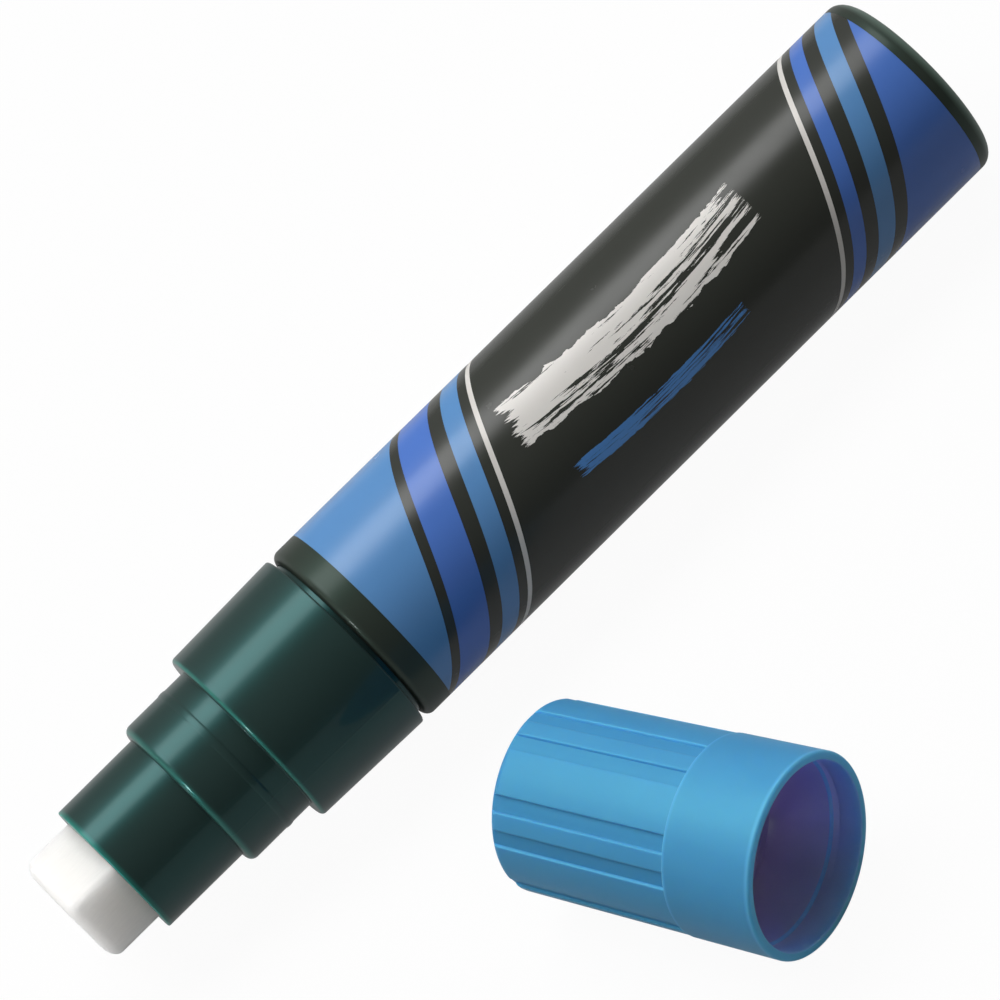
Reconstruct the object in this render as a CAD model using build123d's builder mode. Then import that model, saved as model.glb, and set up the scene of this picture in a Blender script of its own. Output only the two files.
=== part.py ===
"""Liquid chalk marker with a block nib, a sprung ink valve and a push-on cap lying beside it.

The middle of the tail's flat end is the origin, the tip points along -X and Z is up. A station is a
distance from the tail's end towards the tip, and a depth is a distance into the cap from its mouth.
"""

import math
import os

from build123d import *

# Barrel: a moulded ink tube with a closed tail
barrel_radius = 13.8
barrel_length = 99.75
barrel_wall = 1.35
tail_wall = 2.0
tail_edge_radius = 1.8
tail_corner_radius = 1.5
barrel_front_edge_radius = 1.1

# Label: a printed film that lies flush in a shallow recess of the barrel
label_thickness = 0.12
label_glue_gap = 0.02
label_tail_land = 0.7
label_front_land = 2.75

# Mouthpiece: spigot in the barrel, wide collar, and a narrower seat with a bead for the cap
neck_gap = 0.65
spigot_length = 12.0
spigot_wall = 1.5
press_gap = 0.05
collar_length = 17.1
collar_step = 0.04
collar_draft = 0.44
collar_rear_edge_radius = 0.3
collar_front_edge_radius = 0.6
seat_length = 10.25
seat_step = 2.05
seat_edge_radius = 1.1
bead_setback = 3.63
bead_height = 0.2
bead_section_radius = 0.4
valve_bore_depth = 19.6
valve_shoulder = 0.5
lip_length = 2.6

# Nozzle: a straight tube with a channel of the nib's section, held by its flange behind the lip
nozzle_length = 12.65
nozzle_step = 1.49
nozzle_draft = 0.04
nozzle_edge_radius = 0.25
nozzle_flange_length = 2.0

# Nib: a block of bonded fibre, 15 by 10 in section as shares of the nozzle's radius, turned a little
nib_width_share = 15 / 9.74
nib_height_share = 10 / 9.74
nib_length = 19.1
nib_reach = 7.7
nib_roll = -16.6
nib_clearance = 0.15
nib_side_edge_radius = 0.85
nib_front_edge_radius = 1.5
nib_travel = 3.0

# Valve: flanged body with a guide tube, stem with gasket, and a spring in a slotted cage
valve_flange_length = 2.0
valve_seat_share = 0.3
guide_wall = 1.5
guide_stop_gap = 0.1
pusher_share = 0.42
pusher_length = 1.5
stem_radius = 1.6
gasket_length = 1.0
gasket_radius = 4.8
gasket_gap = 0.02
head_length = 2.0
boss_radius = 2.3
boss_length = 2.0
cage_radius = 7.0
cage_wall = 1.2
cage_length = 16.0
cage_floor = 1.5
cage_drain_radius = 1.6
cage_slot_width = 3.0
cage_slot_margin = 2.5
cage_slots = 3
spring_wire_radius = 0.3
spring_mean_radius = 3.2
spring_turns = 6
spring_end_gap = 0.02

# Mixing ball: loose in the ink
ball_radius = 4.0
ball_gap = 0.15
ball_station = 34.0

# Cap: drawn taper, a smooth band at the mouth and pairs of shallow grooves behind it
cap_length = 37.5
cap_mouth_wall = 1.13
cap_draft = 0.65
cap_end_edge_radius = 1.2
cap_lip_radius = 0.35
cap_band_length = 12.2
cap_band_height = 0.1
cap_end_wall = 1.3
cap_bore_gap = 0.1
cap_bore_length = 13.0
cap_snap_depth = 0.25
cap_snap_length = 1.1
cap_inner_step = 1.05
groove_pairs = 6
groove_depth = 0.4
groove_arc = 10.4
groove_spread = 21.5
groove_turn = -14.6

# Cap liner: a soft cup that closes on the nozzle
liner_wall = 0.4
liner_length = 21.0
liner_floor = 0.8
liner_gap = 0.02

# Where the cap lies on the floor: a point under its mouth and the way that the mouth points
cap_station = 83.01
cap_aside = 72.46
cap_yaw = -66.86

# One overrun serves all cuts
overrun = 1.0

os.makedirs("parts", exist_ok=True)

# Profiles of the marker are drawn with the station along x and the radius along y
marker_plane = Plane(origin=(0, 0, 0), x_dir=(-1, 0, 0), z_dir=(0, 1, 0))
marker_axis = Axis((0, 0, 0), (-1, 0, 0))

# Radii that follow from the barrel's, piece by piece towards the tip
bore_radius = barrel_radius - barrel_wall
spigot_radius = bore_radius - press_gap
valve_bore_radius = spigot_radius - spigot_wall
ink_bore_radius = valve_bore_radius - valve_shoulder
collar_rear_radius = barrel_radius - collar_step
collar_front_radius = collar_rear_radius - collar_draft
seat_radius = collar_front_radius - seat_step
nozzle_rear_radius = seat_radius - nozzle_step
nozzle_front_radius = nozzle_rear_radius - nozzle_draft
seat_hole_radius = nozzle_rear_radius + press_gap
nib_width = nozzle_front_radius * nib_width_share
nib_height = nozzle_front_radius * nib_height_share
channel_width = nib_width + nib_clearance + nib_clearance
channel_height = nib_height + nib_clearance + nib_clearance
valve_seat_radius = nib_height * valve_seat_share
pusher_radius = nib_height * pusher_share
cap_bore_radius = seat_radius + cap_bore_gap
cap_mouth_radius = cap_bore_radius + cap_mouth_wall
cap_end_radius = cap_mouth_radius - cap_draft
cap_inner_radius = cap_bore_radius - cap_inner_step

# Stations that pieces share
label_rear = tail_edge_radius + label_tail_land
label_front = barrel_length - barrel_front_edge_radius - label_front_land
collar_rear = barrel_length + neck_gap
collar_front = collar_rear + collar_length
seat_front = collar_front + seat_length
nozzle_front = seat_front + nozzle_length
nib_front = nozzle_front + nib_reach
nib_rear = nib_front - nib_length
spigot_rear = collar_rear - spigot_length
valve_seat = spigot_rear + valve_bore_depth
lip_rear = seat_front - lip_length


def circle_at(piece, plane, station, radius):
    """The round edge of a turned piece that runs through one point of its profile."""
    point = plane.from_local_coords((station, radius, 0))
    return piece.edges().filter_by(GeomType.CIRCLE).sort_by_distance(point)[0]


def cross_plane(station, roll=0.0):
    """A plane across the marker's axis at a station, facing the tip and turned by a roll."""
    turned = (0, math.cos(math.radians(roll)), math.sin(math.radians(roll)))
    return Plane(origin=(-station, 0, 0), x_dir=turned, z_dir=(-1, 0, 0))


# Barrel
with BuildPart() as barrel:
    recess_radius = barrel_radius - label_thickness - label_glue_gap
    with BuildSketch(marker_plane):
        with BuildLine():
            Polyline(
                (0, 0),
                (0, barrel_radius),
                (label_rear, barrel_radius),
                (label_rear, recess_radius),
                (label_front, recess_radius),
                (label_front, barrel_radius),
                (barrel_length, barrel_radius),
                (barrel_length, bore_radius),
                (tail_wall, bore_radius),
                (tail_wall, 0),
                close=True,
            )
        make_face()
    revolve(axis=marker_axis)
    fillet(circle_at(barrel, marker_plane, 0, barrel_radius), tail_edge_radius)
    fillet(circle_at(barrel, marker_plane, barrel_length, barrel_radius), barrel_front_edge_radius)
    fillet(circle_at(barrel, marker_plane, tail_wall, bore_radius), tail_corner_radius)
barrel.part.label = "barrel"
export_step(barrel.part, "parts/barrel.step")

# Label
with BuildPart() as barrel_label:
    label_inner_radius = barrel_radius - label_thickness
    with BuildSketch(marker_plane):
        with BuildLine():
            Polyline(
                (label_rear, label_inner_radius),
                (label_rear, barrel_radius),
                (label_front, barrel_radius),
                (label_front, label_inner_radius),
                close=True,
            )
        make_face()
    revolve(axis=marker_axis)
barrel_label.part.label = "barrel_label"
export_step(barrel_label.part, "parts/barrel_label.step")

# Mouthpiece
with BuildPart() as mouthpiece:
    with BuildSketch(marker_plane):
        with BuildLine():
            Polyline(
                (spigot_rear, valve_bore_radius),
                (spigot_rear, spigot_radius),
                (collar_rear, spigot_radius),
                (collar_rear, collar_rear_radius),
                (collar_front, collar_front_radius),
                (collar_front, seat_radius),
                (seat_front, seat_radius),
                (seat_front, seat_hole_radius),
                (lip_rear, seat_hole_radius),
                (lip_rear, ink_bore_radius),
                (valve_seat, ink_bore_radius),
                (valve_seat, valve_bore_radius),
                close=True,
            )
        make_face()
    revolve(axis=marker_axis)
    fillet(circle_at(mouthpiece, marker_plane, collar_rear, collar_rear_radius), collar_rear_edge_radius)
    fillet(circle_at(mouthpiece, marker_plane, collar_front, collar_front_radius), collar_front_edge_radius)
    fillet(circle_at(mouthpiece, marker_plane, seat_front, seat_radius), seat_edge_radius)
    with BuildSketch(marker_plane):
        with Locations((collar_front + bead_setback, seat_radius + bead_height - bead_section_radius)):
            Circle(bead_section_radius)
    revolve(axis=marker_axis)
mouthpiece.part.label = "mouthpiece"
export_step(mouthpiece.part, "parts/mouthpiece.step")

# Nozzle
with BuildPart() as nozzle:
    flange_front = lip_rear - press_gap
    flange_rear = flange_front - nozzle_flange_length
    with BuildSketch(marker_plane):
        with BuildLine():
            Polyline(
                (flange_rear, 0),
                (flange_rear, ink_bore_radius - press_gap),
                (flange_front, ink_bore_radius - press_gap),
                (flange_front, nozzle_rear_radius),
                (seat_front, nozzle_rear_radius),
                (nozzle_front, nozzle_front_radius),
                (nozzle_front, 0),
                close=True,
            )
        make_face()
    revolve(axis=marker_axis)
    fillet(circle_at(nozzle, marker_plane, nozzle_front, nozzle_front_radius), nozzle_edge_radius)
    with BuildSketch(cross_plane(flange_rear - overrun, nib_roll)):
        Rectangle(channel_width, channel_height)
    extrude(amount=nozzle_front - flange_rear + overrun + overrun, mode=Mode.SUBTRACT)
nozzle.part.label = "nozzle"
export_step(nozzle.part, "parts/nozzle.step")

# Nib
with BuildPart() as nib:
    with BuildSketch(cross_plane(nib_rear, nib_roll)):
        RectangleRounded(nib_width, nib_height, nib_side_edge_radius)
    extrude(amount=nib_length)
    fillet(nib.faces().sort_by(Axis.X)[0].edges(), nib_front_edge_radius)
nib.part.label = "nib"
export_step(nib.part, "parts/nib.step")

# Valve body
with BuildPart() as valve_body:
    flange_front = valve_seat - press_gap
    flange_rear = flange_front - valve_flange_length
    guide_radius = valve_seat_radius + guide_wall
    guide_front = nib_rear - pusher_length - nib_travel - guide_stop_gap
    with BuildSketch(marker_plane):
        with BuildLine():
            Polyline(
                (flange_rear, valve_seat_radius),
                (flange_rear, valve_bore_radius - press_gap),
                (flange_front, valve_bore_radius - press_gap),
                (flange_front, guide_radius),
                (guide_front, guide_radius),
                (guide_front, valve_seat_radius),
                close=True,
            )
        make_face()
    revolve(axis=marker_axis)
valve_body.part.label = "valve_body"
export_step(valve_body.part, "parts/valve_body.step")

# Valve stem
with BuildPart() as valve_stem:
    gasket_front = flange_rear - gasket_gap
    head_front = gasket_front - gasket_length
    head_rear = head_front - head_length
    with BuildSketch(marker_plane):
        with BuildLine():
            Polyline(
                (head_rear - boss_length, 0),
                (head_rear - boss_length, boss_radius),
                (head_rear, boss_radius),
                (head_rear, gasket_radius),
                (head_front, gasket_radius),
                (head_front, stem_radius),
                (nib_rear - pusher_length, stem_radius),
                (nib_rear - pusher_length, pusher_radius),
                (nib_rear, pusher_radius),
                (nib_rear, 0),
                close=True,
            )
        make_face()
    revolve(axis=marker_axis)
valve_stem.part.label = "valve_stem"
export_step(valve_stem.part, "parts/valve_stem.step")

# Valve gasket
with BuildPart() as valve_gasket:
    with BuildSketch(cross_plane(head_front)):
        Circle(gasket_radius)
        Circle(stem_radius + gasket_gap, mode=Mode.SUBTRACT)
    extrude(amount=gasket_length)
valve_gasket.part.label = "valve_gasket"
export_step(valve_gasket.part, "parts/valve_gasket.step")

# Spring cage
with BuildPart() as spring_cage:
    cage_rear = flange_rear - cage_length
    cage_bore_radius = cage_radius - cage_wall
    slot_rear = cage_rear + cage_floor + cage_slot_margin
    slot_front = flange_rear - cage_slot_margin
    with BuildSketch(cross_plane(cage_rear)):
        Circle(cage_radius)
    extrude(amount=cage_length)
    with BuildSketch(cross_plane(cage_rear + cage_floor)):
        Circle(cage_bore_radius)
    extrude(amount=cage_length, mode=Mode.SUBTRACT)
    with BuildSketch(cross_plane(cage_rear - overrun)):
        Circle(cage_drain_radius)
    extrude(amount=cage_floor + overrun + overrun, mode=Mode.SUBTRACT)
    for slot in range(cage_slots):
        slot_roll = slot * 360 / cage_slots
        with BuildSketch(cross_plane(slot_rear, slot_roll)):
            with Locations((cage_radius, 0)):
                Rectangle(cage_radius, cage_slot_width)
        extrude(amount=slot_front - slot_rear, mode=Mode.SUBTRACT)
spring_cage.part.label = "spring_cage"
export_step(spring_cage.part, "parts/spring_cage.step")

# Valve spring
with BuildPart() as valve_spring:
    spring_rear = cage_rear + cage_floor + spring_end_gap + spring_wire_radius
    spring_front = head_rear - spring_end_gap - spring_wire_radius
    spring_height = spring_front - spring_rear
    spring_pitch = spring_height / spring_turns
    with BuildLine() as coil:
        Helix(
            pitch=spring_pitch,
            height=spring_height,
            radius=spring_mean_radius,
            center=(-spring_rear, 0, 0),
            direction=(-1, 0, 0),
        )
    with BuildSketch(Plane(origin=coil.line @ 0, z_dir=coil.line % 0)):
        Circle(spring_wire_radius)
    sweep(path=coil.line, is_frenet=True)
valve_spring.part.label = "valve_spring"
export_step(valve_spring.part, "parts/valve_spring.step")

# Mixing ball
with BuildPart() as mixing_ball:
    ball_drop = bore_radius - ball_radius - ball_gap
    with Locations((-ball_station, 0, -ball_drop)):
        Sphere(ball_radius)
mixing_ball.part.label = "mixing_ball"
export_step(mixing_ball.part, "parts/mixing_ball.step")

# The cap lies on the line of its tapered wall, so its axis leans by the taper's angle
cap_taper = (cap_mouth_radius - cap_end_radius) / cap_length
cap_lean = math.atan(cap_taper)
yaw = math.radians(cap_yaw)
mouthward = Vector(math.cos(yaw) * math.cos(cap_lean), math.sin(yaw) * math.cos(cap_lean), math.sin(cap_lean))
sideward = Vector(-math.sin(yaw), math.cos(yaw), 0)
upward = mouthward.cross(sideward)
floor_point = Vector(-cap_station, -cap_aside, -barrel_radius)
mouth_centre = floor_point + upward * cap_mouth_radius
cap_plane = Plane(origin=mouth_centre, x_dir=-mouthward, z_dir=sideward)
cap_axis = Axis(mouth_centre, mouthward)


def cap_wall(depth, sunk=0.0):
    """Outer radius of the tapered cap at a depth, less what the surface is sunk by."""
    return cap_mouth_radius - cap_taper * depth - sunk


# Cap
with BuildPart() as cap:
    snap_radius = cap_bore_radius + cap_snap_depth
    snap_start = bead_setback - cap_snap_length / 2
    inner_depth = cap_length - cap_end_wall
    with BuildSketch(cap_plane):
        with BuildLine():
            Polyline(
                (0, cap_bore_radius),
                (0, cap_wall(0)),
                (cap_band_length, cap_wall(cap_band_length)),
                (cap_band_length + cap_band_height, cap_wall(cap_band_length, cap_band_height)),
                (cap_length, cap_wall(cap_length, cap_band_height)),
                (cap_length, 0),
                (inner_depth, 0),
                (inner_depth, cap_inner_radius),
                (cap_bore_length, cap_inner_radius),
                (cap_bore_length, cap_bore_radius),
                (snap_start + cap_snap_length, cap_bore_radius),
                (snap_start + cap_snap_length, snap_radius),
                (snap_start, snap_radius),
                (snap_start, cap_bore_radius),
                close=True,
            )
        make_face()
    revolve(axis=cap_axis)
    end_rim = circle_at(cap, cap_plane, cap_length, cap_wall(cap_length, cap_band_height))
    fillet(end_rim, cap_end_edge_radius)
    fillet(circle_at(cap, cap_plane, 0, cap_wall(0)), cap_lip_radius)
    groove_start = cap_band_length + cap_band_height
    groove_sunk = cap_band_height + groove_depth
    for pair in range(groove_pairs):
        for side in (-1, 1):
            middle = groove_turn + pair * 360 / groove_pairs + side * groove_spread / 2
            across = sideward.rotate(cap_axis, middle - groove_arc / 2)
            with BuildSketch(Plane(origin=mouth_centre, x_dir=-mouthward, z_dir=across)):
                with BuildLine():
                    Polyline(
                        (groove_start, cap_wall(groove_start, groove_sunk)),
                        (cap_length + overrun, cap_wall(cap_length + overrun, groove_sunk)),
                        (cap_length + overrun, cap_mouth_radius),
                        (groove_start, cap_mouth_radius),
                        close=True,
                    )
                make_face()
            revolve(axis=cap_axis, revolution_arc=groove_arc, mode=Mode.SUBTRACT)
cap.part.label = "cap"
export_step(cap.part, "parts/cap.step")

# Cap liner
with BuildPart() as cap_liner:
    liner_rear = inner_depth - liner_gap
    liner_radius = cap_inner_radius - liner_gap
    with BuildSketch(cap_plane):
        with BuildLine():
            Polyline(
                (liner_rear - liner_length, liner_radius),
                (liner_rear, liner_radius),
                (liner_rear, 0),
                (liner_rear - liner_floor, 0),
                (liner_rear - liner_floor, liner_radius - liner_wall),
                (liner_rear - liner_length, liner_radius - liner_wall),
                close=True,
            )
        make_face()
    revolve(axis=cap_axis)
cap_liner.part.label = "cap_liner"
export_step(cap_liner.part, "parts/cap_liner.step")
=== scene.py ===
"""Looks of a liquid chalk marker with its cap taken off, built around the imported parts.

The marker lies along X with the middle of its tail's end at the origin and its tip towards -X, Z is up,
and the cap lies on the same floor. Sizes are in millimetres and become metres where a mesh is made.
"""

import logging
import math
from abc import ABC, abstractmethod
from dataclasses import dataclass, replace
from enum import Enum
from typing import Callable, Sequence

import bmesh
import bpy
from mathutils import Matrix, Vector


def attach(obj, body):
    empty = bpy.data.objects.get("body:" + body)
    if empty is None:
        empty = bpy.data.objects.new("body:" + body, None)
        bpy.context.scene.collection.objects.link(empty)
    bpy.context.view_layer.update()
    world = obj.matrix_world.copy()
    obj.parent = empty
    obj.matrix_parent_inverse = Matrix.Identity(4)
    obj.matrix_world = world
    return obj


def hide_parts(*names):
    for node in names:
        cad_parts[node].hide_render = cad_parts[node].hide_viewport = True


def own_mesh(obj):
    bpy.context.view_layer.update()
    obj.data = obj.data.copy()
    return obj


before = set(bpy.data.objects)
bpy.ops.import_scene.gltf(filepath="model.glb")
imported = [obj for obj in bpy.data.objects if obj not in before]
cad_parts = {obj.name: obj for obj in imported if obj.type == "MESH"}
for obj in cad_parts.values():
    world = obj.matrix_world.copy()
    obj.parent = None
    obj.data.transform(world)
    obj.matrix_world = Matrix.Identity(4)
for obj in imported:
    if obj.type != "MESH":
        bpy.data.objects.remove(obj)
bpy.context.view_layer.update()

log = logging.getLogger("marker")

Tree = bpy.types.NodeTree
Node = bpy.types.Node
Socket = bpy.types.NodeSocket
Mesh = bmesh.types.BMesh
Triple = tuple[float, float, float]

MM = 0.001
FLOOR_LEVEL = -13.8
NIB_ROLL = -16.6
TURN_STEPS = 240
RING_GAP = 0.6
ROUND_SEGMENTS = 8
WELD = 1e-7
SHARP_ANGLE = math.radians(38)
# A station runs from the tail towards the tip, which is along -X
MARKER_PLACE = Matrix.Rotation(math.pi, 4, "Z")
# Names of the numbers that pieces store for their materials
# Share of a paler painted colour on thin edges and rims: painted glow, highlight and reflection
PAINTED_EDGE_LIGHT = "painted_edge_light"
# Share of a darker painted colour on the grooves' floors: painted shade
PAINTED_SOLE_SHADE = "painted_groove_shade"


class Body(str, Enum):
    """The moving bodies that carry new pieces."""

    MARKER = "marker"
    NIB_UNIT = "nib_unit"
    CAP = "cap"


class Slot(str, Enum):
    """The record's material slots, by name."""

    BARREL = "barrel_plastic"
    LABEL = "label_film"
    GREEN = "green_plastic"
    NIB = "nib_fibre"
    STEEL = "steel"
    BLUE = "blue_plastic"


def linear(colour: str) -> tuple[float, float, float, float]:
    """Turns an sRGB hex colour into the linear colour that a shader takes.

    Args:
        colour: Six hex digits after a hash.

    Returns:
        Linear red, green and blue, and an alpha of one.
    """
    parts = [int(colour[i:i + 2], 16) / 255 for i in (1, 3, 5)]
    # The sRGB curve has a straight foot, and is a power above it
    red, green, blue = (c / 12.92 if c <= 0.04045 else ((c + 0.055) / 1.055) ** 2.4 for c in parts)
    return red, green, blue, 1.0


WHITE = linear("#ffffff")


def add(tree: Tree, kind: str, inputs: dict | None = None, **settings: object) -> Node:
    """Adds a node with its settings, its values and its links.

    Args:
        tree: The node tree that takes the node.
        kind: The node's type, without the words ShaderNode.
        inputs: Values or output sockets by the input's name or number.
        settings: Properties of the node itself.

    Returns:
        The new node.
    """
    node = tree.nodes.new("ShaderNode" + kind)
    for key, value in settings.items():
        setattr(node, key, value)
    for key, value in (inputs or {}).items():
        if isinstance(value, Socket):
            tree.links.new(value, node.inputs[key])
        else:
            node.inputs[key].default_value = value
    return node


def new_material(name: str) -> tuple[bpy.types.Material, Tree]:
    """Makes an empty material.

    Args:
        name: The material's name.

    Returns:
        The material and its node tree.
    """
    material = bpy.data.materials.new(name)
    material.use_nodes = True
    material.node_tree.nodes.clear()
    return material, material.node_tree


@dataclass(frozen=True)
class Corner:
    """A corner of a turned profile: its place along the axis, its radius, and what rounds it."""

    along: float
    radius: float
    rounding: float = 0.0


def turned(corners: Sequence[Corner], closed: bool, steps: int = TURN_STEPS, ring_gap: float = 0.0) -> Mesh:
    """Turns a profile about the X axis, with its corners rounded first.

    Args:
        corners: The profile, in millimetres along X and away from it.
        closed: Whether the last corner joins the first one, as on a ring.
        steps: How many columns the turned surface has.
        ring_gap: The widest gap between two rings, in millimetres, or zero for no limit.

    Returns:
        A mesh in metres with faces that point outwards.
    """
    bm = bmesh.new()
    points = [bm.verts.new((c.along * MM, 0, c.radius * MM)) for c in corners]
    pairs = list(zip(points, points[1:])) + ([(points[-1], points[0])] if closed else [])
    for first, second in pairs:
        bm.edges.new((first, second))
    for point, corner in zip(points, corners):
        if corner.rounding:
            bmesh.ops.bevel(bm, geom=[point], offset=corner.rounding * MM, offset_type="OFFSET",
                            segments=ROUND_SEGMENTS, profile=0.5, affect="VERTICES", material=-1)
    for edge in (bm.edges[:] if ring_gap else []):
        cuts = math.ceil(edge.calc_length() / (ring_gap * MM)) - 1
        if cuts > 0:
            bmesh.ops.subdivide_edges(bm, edges=[edge], cuts=cuts)
    bmesh.ops.spin(bm, geom=bm.verts[:] + bm.edges[:], cent=(0, 0, 0), axis=(1, 0, 0),
                   angle=math.tau, steps=steps, use_merge=True)
    bmesh.ops.remove_doubles(bm, verts=bm.verts[:], dist=WELD)
    bmesh.ops.recalc_face_normals(bm, faces=bm.faces[:])
    return bm


def piece_from(bm: Mesh, name: str, body: Body, place: Matrix, replaced: str) -> bpy.types.Object:
    """Makes a finished piece of a mesh and puts it on its body.

    Args:
        bm: The mesh, which is used up.
        name: The piece's name.
        body: The body that carries it.
        place: Where the mesh goes in the shared frame.
        replaced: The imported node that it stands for.

    Returns:
        The new object.
    """
    bmesh.ops.transform(bm, matrix=place, verts=bm.verts[:])
    mesh = bpy.data.meshes.new(name)
    bm.to_mesh(mesh)
    bm.free()
    mesh.shade_smooth()
    mesh.set_sharp_from_angle(angle=SHARP_ANGLE)
    piece = bpy.data.objects.new(name, mesh)
    bpy.context.scene.collection.objects.link(piece)
    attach(piece, body.value)
    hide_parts(replaced)
    return piece


def set_values(piece: bpy.types.Object, name: str, value_at: Callable[[Vector], float]) -> None:
    """Stores a number for each point of a piece, for its material to read.

    Args:
        piece: The piece.
        name: The attribute's name.
        value_at: Gives the number for a point in metres.
    """
    attribute = piece.data.attributes.new(name, "FLOAT", "POINT")
    attribute.data.foreach_set("value", [value_at(v.co) for v in piece.data.vertices])


class Finish(ABC):
    """A real material and how its surface was made."""

    name: str

    @abstractmethod
    def shader(self, tree: Tree, place: Socket) -> Node:
        """Adds the nodes of the surface.

        Args:
            tree: The material's node tree.
            place: The point in metres.

        Returns:
            The shader's node.
        """

    def material(self) -> bpy.types.Material:
        """Makes the material.

        Returns:
            A new material with the finish's name.
        """
        material, tree = new_material(self.name)
        shader = self.shader(tree, add(tree, "TexCoord").outputs["Object"])
        add(tree, "OutputMaterial", {"Surface": shader.outputs["BSDF"]})
        return material


@dataclass(frozen=True)
class MouldedPlastic(Finish):
    """Injection-moulded plastic: faint clouding of the colour, mould grain, and handling marks in the gloss.

    The grain of a real mould is finer, and is drawn as coarse as it needs to show.
    """

    name: str
    colour: str
    cloud_colour: str
    roughness: float
    rough_change: float
    ior: float
    grain_mm: float
    grain_depth_mm: float
    grain_detail: float = 2.0
    cloud_mm: float = 9.0
    cloud_detail: float = 3.0
    smear_mm: float = 3.0
    smear_detail: float = 4.0
    # A paler painted colour on thin edges and rims is painted light, and a darker one on groove floors is painted
    # shade
    painted_edge_light_colour: str = ""
    painted_sole_shade_colour: str = ""
    parting_turn: float = 0.0
    parting_mm: float = 0.0
    parting_height_mm: float = 0.015
    parting_radius_mm: float = 13.5
    gloss: float = 0.5
    tint: str = "#ffffff"
    skin: float = 0.0
    skin_roughness: float = 0.1
    subsurface: float = 0.0
    subsurface_mm: float = 1.0
    subsurface_reach: Triple = (1.0, 0.2, 0.1)
    edge_glow_mm: float = 0.0

    def colour_at(self, tree: Tree, place: Socket) -> Socket:
        """Clouds the colour, paints it darker on groove floors as painted shade, and paler on thin edges as painted
        light.

        Args:
            tree: The material's node tree.
            place: The point in metres.

        Returns:
            The colour's socket.
        """
        cloud = add(tree, "TexNoise", {"Vector": place, "Scale": 1 / (self.cloud_mm * MM),
                                       "Detail": self.cloud_detail})
        colour = add(tree, "Mix", {"Factor": cloud.outputs["Fac"], "A": linear(self.colour),
                                   "B": linear(self.cloud_colour)}, data_type="RGBA").outputs["Result"]
        # Mixes in the painted shade of groove floors and the painted light of thin edges
        for name, shade in ((PAINTED_SOLE_SHADE, self.painted_sole_shade_colour), (PAINTED_EDGE_LIGHT, self.painted_edge_light_colour)):
            if shade:
                share = add(tree, "Attribute", attribute_name=name)
                colour = add(tree, "Mix", {"Factor": share.outputs["Fac"], "A": colour, "B": linear(shade)},
                             data_type="RGBA").outputs["Result"]
        return colour

    def roughness_at(self, tree: Tree, place: Socket) -> Socket:
        """Smears the gloss.

        Args:
            tree: The material's node tree.
            place: The point in metres.

        Returns:
            The roughness's socket.
        """
        smear = add(tree, "TexNoise", {"Vector": place, "Scale": 1 / (self.smear_mm * MM),
                                       "Detail": self.smear_detail})
        return add(tree, "MapRange", {"Value": smear.outputs["Fac"], "To Min": self.roughness,
                                      "To Max": self.roughness + self.rough_change}).outputs["Result"]

    def relief_at(self, tree: Tree, place: Socket) -> Socket:
        """Adds the mould's grain, and two parting lines that run along the marker.

        Args:
            tree: The material's node tree.
            place: The point in metres.

        Returns:
            The normal's socket.
        """
        grain = add(tree, "TexNoise", {"Vector": place, "Scale": 1 / (self.grain_mm * MM),
                                       "Detail": self.grain_detail})
        bump = add(tree, "Bump", {"Height": grain.outputs["Fac"], "Distance": self.grain_depth_mm * MM})
        if self.parting_mm:
            spot = add(tree, "SeparateXYZ", {"Vector": place})
            away = add(tree, "Math", {0: spot.outputs["Y"], 1: -1.0}, operation="MULTIPLY").outputs[0]
            turn = add(tree, "Math", {0: away, 1: spot.outputs["Z"]}, operation="ARCTAN2").outputs[0]
            turn = add(tree, "Math", {0: turn, 1: math.radians(self.parting_turn)},
                       operation="SUBTRACT").outputs[0]
            turn = add(tree, "Math", {0: turn, 1: -math.pi / 2, 2: math.pi / 2}, operation="WRAP").outputs[0]
            turn = add(tree, "Math", {0: turn}, operation="ABSOLUTE").outputs[0]
            ridge = add(tree, "MapRange", {"Value": turn, "From Max": self.parting_mm / self.parting_radius_mm,
                                           "To Min": 1.0, "To Max": 0.0}, interpolation_type="SMOOTHSTEP")
            bump = add(tree, "Bump", {"Height": ridge.outputs["Result"], "Distance": self.parting_height_mm * MM,
                                      "Normal": bump.outputs["Normal"]})
        return bump.outputs["Normal"]

    def glow_at(self, tree: Tree) -> Socket | float:
        """Lets light run further inside a thin edge.

        Args:
            tree: The material's node tree.

        Returns:
            How far light runs in metres, or its socket.
        """
        if not self.edge_glow_mm:
            return self.subsurface_mm * MM
        share = add(tree, "Attribute", attribute_name=PAINTED_EDGE_LIGHT)
        return add(tree, "MapRange", {"Value": share.outputs["Fac"], "To Min": self.subsurface_mm * MM,
                                      "To Max": self.edge_glow_mm * MM}).outputs["Result"]

    def shader(self, tree: Tree, place: Socket) -> Node:
        """Adds the plastic, with a clear skin over it and light inside it where it has them."""
        return add(tree, "BsdfPrincipled", {
            "Base Color": self.colour_at(tree, place), "Roughness": self.roughness_at(tree, place),
            "Normal": self.relief_at(tree, place), "IOR": self.ior, "Specular IOR Level": self.gloss,
            "Specular Tint": linear(self.tint), "Coat Weight": self.skin, "Coat Roughness": self.skin_roughness,
            "Subsurface Weight": self.subsurface, "Subsurface Radius": self.subsurface_reach,
            "Subsurface Scale": self.glow_at(tree)})


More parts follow.
